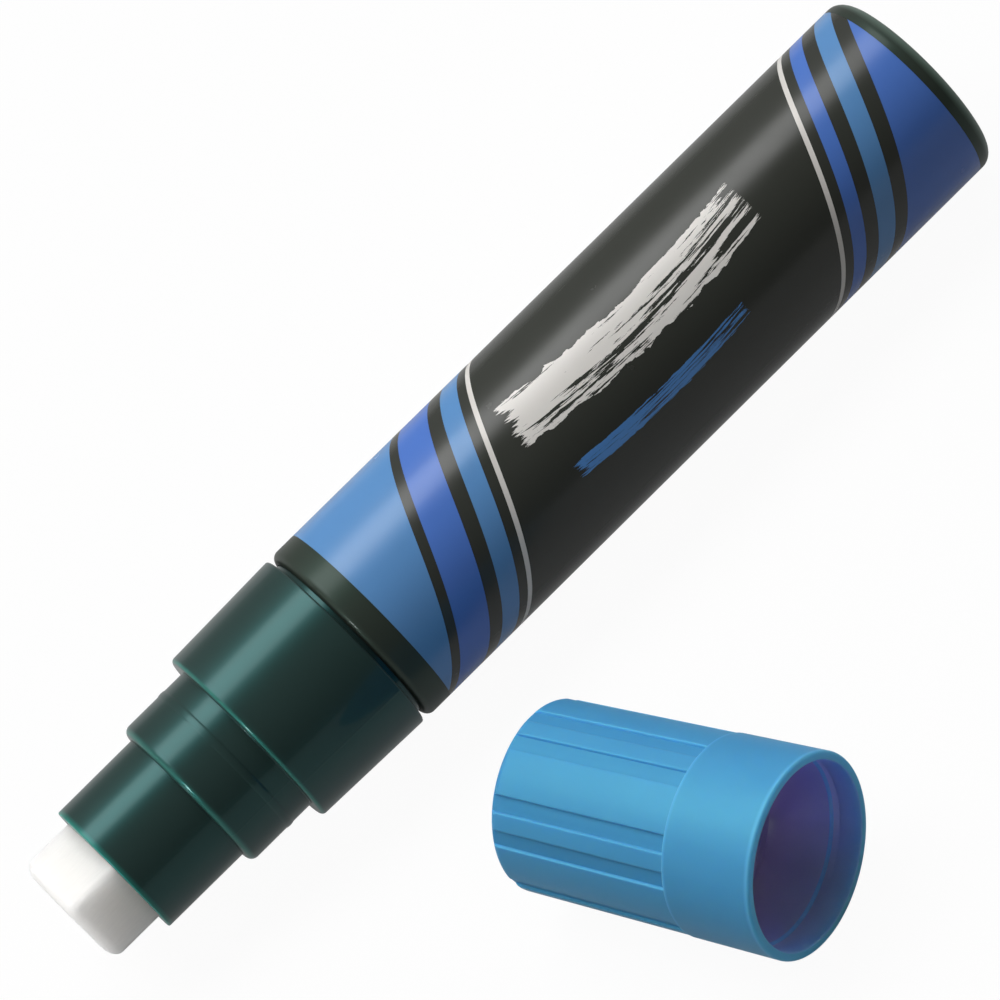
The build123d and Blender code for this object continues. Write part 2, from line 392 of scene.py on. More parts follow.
@dataclass(frozen=True)
class BondedFibre(Finish):
    """Bonded polyester fibre: dull white, with threads that run lengthwise and a soft nap.

    The real threads are finer, and are drawn as coarse as they need to show.
    """

    name: str = "bonded_polyester_fibre"
    colour: str = "#f5f2ee"
    hollow_colour: str = "#eae7e3"
    roughness: float = 0.92
    ior: float = 1.5
    sheen: float = 0.25
    sheen_roughness: float = 0.5
    thread_mm: float = 0.22
    thread_run: float = 9.0
    thread_detail: float = 3.0
    thread_fray: float = 0.6
    nap_depth_mm: float = 0.03
    glow_mm: float = 6.0

    def shader(self, tree: Tree, place: Socket) -> Node:
        """Adds the fibre.

        Args:
            tree: The material's node tree.
            place: The point in metres.

        Returns:
            The shader's node.
        """
        along = add(tree, "Mapping", {"Vector": place, "Scale": (1 / self.thread_run, 1.0, 1.0)})
        thread = add(tree, "TexNoise", {"Vector": along.outputs["Vector"], "Scale": 1 / (self.thread_mm * MM),
                                        "Detail": self.thread_detail, "Roughness": self.thread_fray})
        colour = add(tree, "Mix", {"Factor": thread.outputs["Fac"], "A": linear(self.hollow_colour),
                                   "B": linear(self.colour)}, data_type="RGBA")
        bump = add(tree, "Bump", {"Height": thread.outputs["Fac"], "Distance": self.nap_depth_mm * MM})
        return add(tree, "BsdfPrincipled", {
            "Base Color": colour.outputs["Result"], "Roughness": self.roughness, "IOR": self.ior,
            "Sheen Weight": self.sheen, "Sheen Roughness": self.sheen_roughness, "Subsurface Weight": 1.0,
            "Subsurface Radius": (1.0, 1.0, 1.0), "Subsurface Scale": self.glow_mm * MM,
            "Normal": bump.outputs["Normal"]})


SKY_INK = "#598bc0"
DEEP_INK = "#4c74c2"
PALE_INK = "#d6d3ce"
NO_INK = (0.0, 0.0, 0.0, 0.0)


@dataclass(frozen=True)
class Band:
    """A printed slanted band: how far it starts from the label's end, its width and its ink."""

    start: float
    width: float
    ink: str


@dataclass(frozen=True)
class ChalkStroke:
    """A printed dry stroke of chalk: its middle, half its size, its bow and its ink."""

    along: float
    around: float
    half_length: float
    half_width: float
    bow: float
    ink: str


@dataclass(frozen=True)
class PrintedFilm(Finish):
    """Printed polypropylene film: flat ink under a thin satin varnish that follows the barrel's slight waves."""

    name: str = "printed_polypropylene_film"
    ground: str = "#343631"
    map_name: str = "label_mm"
    length: float = 93.4
    slant: float = 0.45
    ior: float = 1.5
    gloss: float = 0.35
    roughness: float = 0.2
    rough_change: float = 0.1
    smear_mm: float = 4.0
    smear_detail: float = 4.0
    wave_mm: float = 7.0
    wave_depth_mm: float = 0.02
    wave_detail: float = 2.0
    streak_scale: Triple = (1.6, 5.0, 1.0)
    streak_detail: float = 5.0
    streak_fray: float = 0.65
    ragged_scale: Triple = (9.0, 3.0, 1.0)
    ragged_detail: float = 3.0
    side_wander: float = 0.55
    side_limit: float = 1.18
    end_wander: float = 0.5
    end_limit: float = 1.2
    dry_end: float = 0.54
    wet_end: float = 0.36
    front_bands: tuple[Band, ...] = (
        Band(0.0, 7.5, SKY_INK), Band(9.3, 5.0, DEEP_INK), Band(16.2, 2.8, SKY_INK), Band(20.8, 0.8, PALE_INK))
    rear_bands: tuple[Band, ...] = (
        Band(0.0, 5.5, DEEP_INK), Band(7.3, 3.6, SKY_INK), Band(12.8, 2.0, DEEP_INK), Band(16.7, 0.7, PALE_INK))
    strokes: tuple[ChalkStroke, ...] = (
        ChalkStroke(45.5, -3.0, 21.0, 3.6, 1.6, "#dcd9d4"), ChalkStroke(49.0, 6.2, 15.0, 1.2, 0.9, "#5a94d6"))

    def bands(self, tree: Tree, distance: Socket, bands: Sequence[Band]) -> Node:
        """Adds a stepped ramp that inks bands along a slanted distance.

        Args:
            tree: The label's node tree.
            distance: The slanted distance from the label's end, in millimetres.
            bands: The bands in order.

        Returns:
            The ramp, whose alpha says where there is ink.
        """
        reach = self.length
        share = add(tree, "MapRange", {"Value": distance, "From Min": -reach, "From Max": reach})
        ramp = add(tree, "ValToRGB", {"Fac": share.outputs["Result"]})
        ramp.color_ramp.interpolation = "CONSTANT"
        stops = ramp.color_ramp.elements
        stops[0].color = linear(bands[0].ink)
        stops.remove(stops[1])
        for number, band in enumerate(bands):
            if number:
                stops.new(0.5 + band.start / reach / 2).color = linear(band.ink)
            stops.new(0.5 + (band.start + band.width) / reach / 2).color = NO_INK
        return ramp

    def stroke(self, tree: Tree, along: Socket, around: Socket, stroke: ChalkStroke) -> Socket:
        """Adds the mask of a dry chalk stroke, whose streaks run with it and whose end runs dry.

        Args:
            tree: The label's node tree.
            along: Millimetres along the label.
            around: Millimetres round the label.
            stroke: The stroke.

        Returns:
            The mask's socket.
        """
        u = add(tree, "MapRange", {"Value": along, "From Min": stroke.along - stroke.half_length,
                                   "From Max": stroke.along + stroke.half_length, "To Min": -1.0, "To Max": 1.0},
                clamp=False).outputs["Result"]
        square = add(tree, "Math", {0: u, 1: u}, operation="MULTIPLY").outputs[0]
        bowed = add(tree, "Math", {0: square, 1: stroke.bow, 2: around}, operation="MULTIPLY_ADD").outputs[0]
        v = add(tree, "MapRange", {"Value": bowed, "From Min": stroke.around - stroke.half_width,
                                   "From Max": stroke.around + stroke.half_width, "To Min": -1.0, "To Max": 1.0},
                clamp=False).outputs["Result"]
        spot = add(tree, "CombineXYZ", {"X": u, "Y": v, "Z": stroke.along})
        streak_map = add(tree, "Mapping", {"Vector": spot.outputs[0], "Scale": self.streak_scale})
        streak = add(tree, "TexNoise", {"Vector": streak_map.outputs[0], "Scale": 1.0,
                                        "Detail": self.streak_detail, "Roughness": self.streak_fray}).outputs["Fac"]
        ragged_map = add(tree, "Mapping", {"Vector": spot.outputs[0], "Scale": self.ragged_scale})
        ragged = add(tree, "TexNoise", {"Vector": ragged_map.outputs[0], "Scale": 1.0,
                                        "Detail": self.ragged_detail}).outputs["Fac"]
        masks = []
        for way, wander, share, limit in ((v, ragged, self.side_wander, self.side_limit),
                                          (u, streak, self.end_wander, self.end_limit)):
            away = add(tree, "Math", {0: way}, operation="ABSOLUTE").outputs[0]
            away = add(tree, "Math", {0: wander, 1: share, 2: away}, operation="MULTIPLY_ADD").outputs[0]
            masks.append(add(tree, "Math", {0: away, 1: limit}, operation="LESS_THAN").outputs[0])
        dry = add(tree, "MapRange", {"Value": u, "From Min": -1.0, "From Max": 1.0, "To Min": self.dry_end,
                                     "To Max": self.wet_end})
        inked = add(tree, "Math", {0: streak, 1: dry.outputs["Result"]}, operation="GREATER_THAN").outputs[0]
        both = add(tree, "Math", {0: masks[0], 1: masks[1]}, operation="MULTIPLY").outputs[0]
        return add(tree, "Math", {0: both, 1: inked}, operation="MULTIPLY").outputs[0]

    def shader(self, tree: Tree, place: Socket) -> Node:
        """Adds the printed film.

        Args:
            tree: The material's node tree.
            place: The point in metres.

        Returns:
            The shader's node.
        """
        spot = add(tree, "SeparateXYZ", {"Vector": add(tree, "UVMap", uv_map=self.map_name).outputs["UV"]})
        along, around = spot.outputs["X"], spot.outputs["Y"]
        lean = add(tree, "Math", {0: around, 1: self.slant}, operation="MULTIPLY").outputs[0]
        from_front = add(tree, "Math", {0: self.length, 1: along}, operation="SUBTRACT").outputs[0]
        front_way = add(tree, "Math", {0: from_front, 1: lean}, operation="ADD").outputs[0]
        rear_way = add(tree, "Math", {0: along, 1: lean}, operation="SUBTRACT").outputs[0]
        colour = linear(self.ground)
        for way, bands in ((front_way, self.front_bands), (rear_way, self.rear_bands)):
            ramp = self.bands(tree, way, bands)
            colour = add(tree, "Mix", {"Factor": ramp.outputs["Alpha"], "A": colour,
                                       "B": ramp.outputs["Color"]}, data_type="RGBA").outputs["Result"]
        for stroke in self.strokes:
            mask = self.stroke(tree, along, around, stroke)
            colour = add(tree, "Mix", {"Factor": mask, "A": colour, "B": linear(stroke.ink)},
                         data_type="RGBA").outputs["Result"]
        wave = add(tree, "TexNoise", {"Vector": place, "Scale": 1 / (self.wave_mm * MM), "Detail": self.wave_detail})
        bump = add(tree, "Bump", {"Height": wave.outputs["Fac"], "Distance": self.wave_depth_mm * MM})
        smear = add(tree, "TexNoise", {"Vector": place, "Scale": 1 / (self.smear_mm * MM),
                                       "Detail": self.smear_detail})
        rough = add(tree, "MapRange", {"Value": smear.outputs["Fac"], "To Min": self.roughness,
                                       "To Max": self.roughness + self.rough_change})
        return add(tree, "BsdfPrincipled", {"Base Color": colour, "Roughness": rough.outputs["Result"],
                                            "IOR": self.ior, "Specular IOR Level": self.gloss,
                                            "Normal": bump.outputs["Normal"]})


@dataclass(frozen=True)
class DrawnSteel(Finish):
    """Drawn or ground stainless steel: bright, with fine marks."""

    name: str = "stainless_steel"
    colour: str = "#c9c8c4"
    roughness: float = 0.22
    rough_change: float = 0.15
    mark_mm: float = 0.3
    mark_detail: float = 4.0

    def shader(self, tree: Tree, place: Socket) -> Node:
        """Adds the steel.

        Args:
            tree: The material's node tree.
            place: The point in metres.

        Returns:
            The shader's node.
        """
        mark = add(tree, "TexNoise", {"Vector": place, "Scale": 1 / (self.mark_mm * MM), "Detail": self.mark_detail})
        rough = add(tree, "MapRange", {"Value": mark.outputs["Fac"], "To Min": self.roughness,
                                       "To Max": self.roughness + self.rough_change})
        return add(tree, "BsdfPrincipled", {"Base Color": linear(self.colour), "Metallic": 1.0,
                                            "Roughness": rough.outputs["Result"]})


# Near-black with a dull green sheen under a faint clear shine, painted paler on the tail's rounded edge as a painted
# reflection
BARREL_PLASTIC = MouldedPlastic(
    "barrel_polypropylene", "#313630", "#2d322c", roughness=0.42, rough_change=0.08, ior=1.49, grain_mm=0.35,
    grain_depth_mm=0.002, painted_edge_light_colour="#586a60", gloss=0.22, tint="#aaffe7", skin=0.22, skin_roughness=0.2)
# Dark through its thickness, with a broad green sheen under a clear shine, and a paler green painted on its thin
# rims as painted glow and highlight
GREEN_PLASTIC = MouldedPlastic(
    "translucent_green_polypropylene", "#2a3936", "#273633", roughness=0.27, rough_change=0.06, ior=1.49,
    grain_mm=1.4, grain_depth_mm=0.002, painted_edge_light_colour="#2f8f82", gloss=0.36, tint="#6cffff", skin=0.24,
    skin_roughness=0.06)
# The same moulding, slightly shinier, with a faint parting line along each side
GREEN_COLLAR = replace(GREEN_PLASTIC, name="translucent_green_polypropylene_parted", skin=0.26, parting_turn=81.3,
                       parting_mm=0.3)
# Satin sky blue that lets some light into the wall, so that shaded grooves stay blue, with painted light on thin
# edges and painted shade on groove floors
BLUE_PLASTIC = MouldedPlastic(
    "blue_polypropylene", "#4b9ace", "#4794c8", roughness=0.42, rough_change=0.1, ior=1.49, grain_mm=0.6,
    grain_depth_mm=0.004, painted_edge_light_colour="#5eaee8", painted_sole_shade_colour="#4390c5", gloss=0.72, tint="#90ffe8",
    subsurface=0.5, subsurface_mm=1.6, subsurface_reach=(0.3, 0.6, 1.0), edge_glow_mm=6.0)
# A copy of the same plastic for the bore, lit from behind through the wall: its deep violet-blue is painted shade,
# and its paler colour towards the rim is painted light
BLUE_BORE_PAINTED_SHADE = MouldedPlastic(
    "blue_polypropylene_bore_painted_shade", "#aa9dd2", "#a296ca", roughness=0.45, rough_change=0.1, ior=1.49, grain_mm=0.6,
    grain_depth_mm=0.004, painted_edge_light_colour="#74a9f4", gloss=0.3, subsurface=1.0, subsurface_mm=5.0,
    subsurface_reach=(0.76, 0.72, 1.0))
# Plain undyed white with a low shine
VALVE_PLASTIC = MouldedPlastic(
    "natural_acetal", "#e6e4dc", "#dedbd2", roughness=0.32, rough_change=0.1, ior=1.48, grain_mm=0.5,
    grain_depth_mm=0.004)
# Soft and milky: it passes on the little light that comes through the cap's wall
LINER_PLASTIC = MouldedPlastic(
    "soft_polyethylene", "#6e6ba6", "#67649d", roughness=0.45, rough_change=0.1, ior=1.51, grain_mm=0.8,
    grain_depth_mm=0.005, gloss=0.3, subsurface=1.0, subsurface_mm=5.0, subsurface_reach=(0.8, 0.72, 0.95))
# Matt black
RUBBER = MouldedPlastic(
    "nitrile_rubber", "#2a2a2b", "#232324", roughness=0.7, rough_change=0.15, ior=1.52, grain_mm=0.25,
    grain_depth_mm=0.01)


def dress_node(name: str, finish: Finish) -> None:
    """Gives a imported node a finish.

    Args:
        name: The node's name.
        finish: The finish.
    """
    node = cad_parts[name]
    material = bpy.data.materials.get(finish.name) or finish.material()
    node.data.materials.clear()
    node.data.materials.append(material)
    log.info("packed node %s in %s", name, finish.name)


class SubAssembly(ABC):
    """A group of pieces that are built and then dressed."""

    @abstractmethod
    def build(self) -> None:
        """Makes the meshes."""

    @abstractmethod
    def dress(self) -> None:
        """Gives the meshes their finishes."""


@dataclass
class Barrel(SubAssembly):
    """The ink tube with its closed tail and the film label round it."""

    radius: float = 13.8
    length: float = 99.75
    wall: float = 1.35
    tail_wall: float = 2.0
    tail_rounding: float = 1.8
    tail_corner: float = 1.5
    front_rounding: float = 1.1
    mouth_rounding: float = 0.15
    label_rear: float = 2.5
    label_front: float = 95.9
    label_thickness: float = 0.12
    label_rounding: float = 0.03
    label_bed: float = 0.14
    label_roll: float = 40.9
    # Where the tail's painted reflection is full, in millimetres from the end, and over how far it fades
    tail_sheen_full: float = 0.6
    tail_sheen_fade: float = 0.8

    def build(self) -> None:
        """Turns the tube and the label."""
        bed, bore = self.radius - self.label_bed, self.radius - self.wall
        tube = [
            Corner(0, 0), Corner(0, self.radius, self.tail_rounding), Corner(self.label_rear, self.radius),
            Corner(self.label_rear, bed), Corner(self.label_front, bed), Corner(self.label_front, self.radius),
            Corner(self.length, self.radius, self.front_rounding), Corner(self.length, bore, self.mouth_rounding),
            Corner(self.tail_wall, bore, self.tail_corner), Corner(self.tail_wall, 0),
        ]
        self.tube = piece_from(turned(tube, False), "marker_barrel", Body.MARKER, MARKER_PLACE,
                               "barrel")
        inner = self.radius - self.label_thickness
        film = [
            Corner(self.label_rear, inner), Corner(self.label_rear, self.radius, self.label_rounding),
            Corner(self.label_front, self.radius, self.label_rounding), Corner(self.label_front, inner),
        ]
        self.film = piece_from(turned(film, True), "marker_label", Body.MARKER, MARKER_PLACE,
                               "barrel_label")
        self.unroll()

    def unroll(self) -> None:
        """Maps the label in millimetres: along it from its rear edge, and round it from the side that shows."""
        mesh = self.film.data
        layer = mesh.uv_layers.new(name=PrintedFilm.map_name)
        for face in mesh.polygons:
            middle = self.angle(face.center)
            for corner in face.loop_indices:
                place = mesh.vertices[mesh.loops[corner].vertex_index].co
                turn = (self.angle(place) - middle + math.pi) % math.tau - math.pi
                layer.uv[corner].vector = (-place.x / MM - self.label_rear, (middle + turn) * self.radius)

    def angle(self, place: Vector) -> float:
        """The angle round the marker from the side that shows, positive towards -Y and down."""
        turn = math.atan2(-place.y, place.z) - math.radians(self.label_roll)
        return (turn + math.pi) % math.tau - math.pi

    def painted_tail_sheen(self, place: Vector) -> float:
        """Says how much painted reflection a place takes.

        Args:
            place: The point in metres.

        Returns:
            One on the tail's rounded edge, and less along the side and towards the end's middle.
        """
        along = 1 + (place.x / MM + self.tail_sheen_full) / self.tail_sheen_fade
        inward = place.yz.length / MM / (self.radius - self.tail_rounding)
        return min(1.0, max(0.0, along)) * min(1.0, inward)

    def dress(self) -> None:
        """Gives the tube its plastic, painted paler on the tail's edge as a painted reflection, and the label its
        print.
        """
        self.tube.data.materials.append(BARREL_PLASTIC.material())
        # Stores the painted reflection of the tail's edge
        set_values(self.tube, PAINTED_EDGE_LIGHT, self.painted_tail_sheen)
        self.film.data.materials.append(PrintedFilm().material())


@dataclass
class Mouthpiece(SubAssembly):
    """The green moulding that closes the barrel and seats the cap, and the nozzle that holds the nib."""

    spigot_rear: float = 88.4
    spigot_radius: float = 12.4
    valve_bore: float = 10.9
    ink_bore: float = 10.4
    valve_seat: float = 108.0
    rear: float = 100.4
    rear_radius: float = 13.76
    rear_rounding: float = 0.3
    front: float = 117.5
    front_radius: float = 13.32
    front_rounding: float = 0.6
    seat_radius: float = 11.27
    seat_front: float = 127.75
    seat_rounding: float = 1.1
    seat_foot: float = 0.12
    seat_hole: float = 9.83
    lip_rear: float = 125.15
    bead_setback: float = 3.63
    bead_height: float = 0.2
    bead_half: float = 0.6
    bead_rounding: float = 0.8
    bead_foot: float = 0.1
    nozzle_rear: float = 123.1
    nozzle_shoulder: float = 125.1
    nozzle_flange: float = 10.35
    nozzle_radius: float = 9.78
    nozzle_front: float = 140.4
    nozzle_front_radius: float = 9.74
    flange_edge: float = 0.05
    flange_rounding: float = 0.04
    tip_edge: float = 0.3
    tip_rounding: float = 0.25
    channel: tuple[float, float] = (15.3, 10.3)
    roll: float = NIB_ROLL
    # How far the painted rim glow reaches, wider on the seat's rounding where it also stands in for its highlight,
    # and how it fades
    rim_glow_reach: float = 0.65
    seat_glow_reach: float = 0.95
    rim_glow_fade: float = 1.5

    def build(self) -> None:
        """Turns the mouthpiece and the nozzle, and opens the nozzle's channel."""
        bead = self.front + self.bead_setback
        ring = [
            Corner(self.spigot_rear, self.valve_bore),
            Corner(self.spigot_rear, self.spigot_radius, self.rear_rounding),
            Corner(self.rear, self.spigot_radius), Corner(self.rear, self.rear_radius, self.rear_rounding),
            Corner(self.front, self.front_radius, self.front_rounding),
            Corner(self.front, self.seat_radius, self.seat_foot),
            Corner(bead - self.bead_half, self.seat_radius, self.bead_foot),
            Corner(bead, self.seat_radius + self.bead_height, self.bead_rounding),
            Corner(bead + self.bead_half, self.seat_radius, self.bead_foot),
            Corner(self.seat_front, self.seat_radius, self.seat_rounding), Corner(self.seat_front, self.seat_hole),
            Corner(self.lip_rear, self.seat_hole), Corner(self.lip_rear, self.ink_bore),
            Corner(self.valve_seat, self.ink_bore), Corner(self.valve_seat, self.valve_bore),
        ]
        self.collar = piece_from(turned(ring, True, ring_gap=RING_GAP), "marker_mouthpiece", Body.MARKER,
                                 MARKER_PLACE, "mouthpiece")
        self.nozzle = piece_from(self.nozzle_mesh(), "marker_nozzle", Body.MARKER, MARKER_PLACE,
                                 "nozzle")

    def nozzle_mesh(self) -> Mesh:
        """Turns the nozzle's outside and joins it to a channel of the nib's section.

        Returns:
            The nozzle's mesh.
        """
        outside = [
            Corner(self.nozzle_rear, self.nozzle_flange - self.flange_edge),
            Corner(self.nozzle_rear, self.nozzle_flange, self.flange_rounding),
            Corner(self.nozzle_shoulder, self.nozzle_flange), Corner(self.nozzle_shoulder, self.nozzle_radius),
            Corner(self.nozzle_front, self.nozzle_front_radius, self.tip_rounding),
            Corner(self.nozzle_front, self.nozzle_front_radius - self.tip_edge),
        ]
        bm = turned(outside, False, ring_gap=RING_GAP)
        made = bmesh.ops.create_grid(bm, x_segments=1, y_segments=1, size=0.5)["verts"]
        width, height = self.channel
        spread = Matrix.Diagonal((width * MM, height * MM, 1, 1))
        roll = math.radians(self.roll)
        # The nozzle is turned over into the shared frame about Z, so Y changes its sign
        across = Vector((0, -math.cos(roll), math.sin(roll)))
        upright = Vector((1, 0, 0)).cross(across)
        turn = Matrix((across, upright, (1, 0, 0))).transposed().to_4x4()
        start = Matrix.Translation((self.nozzle_rear * MM, 0, 0))
        bmesh.ops.transform(bm, matrix=start @ turn @ spread, verts=made)
        face = made[0].link_faces[0]
        loop = face.edges[:]
        bmesh.ops.delete(bm, geom=[face], context="FACES_ONLY")
        grown = bmesh.ops.extrude_edge_only(bm, edges=loop)["geom"]
        tips = [g for g in grown if isinstance(g, bmesh.types.BMVert)]
        bmesh.ops.translate(bm, vec=((self.nozzle_front - self.nozzle_rear) * MM, 0, 0), verts=tips)
        for station in (self.nozzle_rear, self.nozzle_front):
            rim = [e for e in bm.edges
                   if e.is_boundary and all(abs(v.co.x - station * MM) < WELD for v in e.verts)]
            bmesh.ops.triangle_fill(bm, use_beauty=True, edges=rim)
        bmesh.ops.recalc_face_normals(bm, faces=bm.faces[:])
        return bm

    def thin(self, place: Vector) -> float:
        """Says how much painted glow a point takes near the thin rims.

        Args:
            place: The point in metres.

        Returns:
            One on a rim, and none beyond its reach.
        """
        rims = ((self.front, self.front_radius, self.rim_glow_reach),
                (self.seat_front, self.seat_radius, self.seat_glow_reach),
                (self.nozzle_front, self.nozzle_front_radius, self.rim_glow_reach))
        radius = math.hypot(place.y, place.z)
        away = min(math.hypot(-place.x - s * MM, radius - r * MM) / (reach * MM) for s, r, reach in rims)
        return max(0.0, 1 - away) ** self.rim_glow_fade

    def dress(self) -> None:
        """Gives both pieces the green plastic, with painted glow on their rims."""
        for piece, finish in ((self.collar, GREEN_COLLAR), (self.nozzle, GREEN_PLASTIC)):
            piece.data.materials.append(finish.material())
            set_values(piece, PAINTED_EDGE_LIGHT, self.thin)


@dataclass
class Nib(SubAssembly):
    """The block of bonded fibre, turned a little about the marker's axis."""

    length: float = 19.1
    width: float = 15.0
    height: float = 10.0
    front: float = 148.1
    roll: float = NIB_ROLL
    side_rounding: float = 0.85
    side_segments: int = 6
    front_rounding: float = 1.5
    front_facing: float = -0.9

    def build(self) -> None:
        """Makes a block, rounds its front edges, and then its long edges as they run on round the front."""
        bm = bmesh.new()
        bmesh.ops.create_cube(bm, size=1.0)
        size = Matrix.Diagonal((self.length * MM, self.width * MM, self.height * MM, 1))
        bmesh.ops.transform(bm, matrix=size, verts=bm.verts[:])
        bm.normal_update()
        rim = [e for f in bm.faces if f.normal.x < self.front_facing for e in f.edges]
        bmesh.ops.bevel(bm, geom=rim, offset=self.front_rounding * MM, offset_type="OFFSET",
                        segments=ROUND_SEGMENTS, profile=0.5, affect="EDGES", material=-1)
        bm.normal_update()
        flank = {f: abs(f.normal.y) - abs(f.normal.z) for f in bm.faces}
        corners = [e for e in bm.edges if flank[e.link_faces[0]] * flank[e.link_faces[1]] < 0]
        bmesh.ops.bevel(bm, geom=corners, offset=self.side_rounding * MM, offset_type="OFFSET",
                        segments=self.side_segments, profile=0.5, affect="EDGES", material=-1)
        bmesh.ops.remove_doubles(bm, verts=bm.verts[:], dist=WELD)
        bmesh.ops.recalc_face_normals(bm, faces=bm.faces[:])
        roll = math.radians(self.roll)
        across = Vector((0, math.cos(roll), math.sin(roll)))
        upright = Vector((1, 0, 0)).cross(across)
        turn = Matrix(((1, 0, 0), across, upright)).transposed().to_4x4()
        middle = Matrix.Translation(((self.length / 2 - self.front) * MM, 0, 0))
        self.block = piece_from(bm, "marker_nib", Body.NIB_UNIT, middle @ turn, "nib")

    def dress(self) -> None:
        """Gives the nib its fibre."""
        self.block.data.materials.append(BondedFibre().material())


@dataclass
class InkValve(SubAssembly):
    """The sprung valve behind the nib and the ball that mixes the ink."""

    spring_rear: float = 91.77
    spring_front: float = 102.61
    spring_radius: float = 3.2
    wire_radius: float = 0.3
    wire_sides: int = 12
    turns: int = 6
    turn_steps: int = 36
    travel: float = 3.0

    def build(self) -> None:
        """Winds the spring."""
        bm = bmesh.new()
        ring = bmesh.ops.create_circle(bm, cap_ends=True, segments=self.wire_sides,
                                       radius=self.wire_radius * MM)["verts"]
        stand = Matrix.Translation((self.spring_rear * MM, 0, self.spring_radius * MM)) @ Matrix.Rotation(
            math.pi / 2, 4, "X")
        bmesh.ops.transform(bm, matrix=stand, verts=ring)
        steps = self.turns * self.turn_steps
        step = (self.spring_front - self.spring_rear) * MM / steps
        bmesh.ops.spin(bm, geom=bm.faces[:], cent=(0, 0, 0), axis=(1, 0, 0), dvec=(step, 0, 0),
                       angle=math.tau * self.turns, steps=steps, use_merge=False)
        bmesh.ops.recalc_face_normals(bm, faces=bm.faces[:])
        self.spring = piece_from(bm, "valve_coil_spring", Body.MARKER, MARKER_PLACE, "valve_spring")
        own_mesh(self.spring)

    def dress(self) -> None:
        """Gives the valve's pieces their plastics, rubber and steel."""
        self.spring.data.materials.append(DrawnSteel().material())
        for node in ("valve_body", "valve_stem", "spring_cage"):
            dress_node(node, VALVE_PLASTIC)
        dress_node("valve_gasket", RUBBER)
        dress_node("mixing_ball", DrawnSteel())


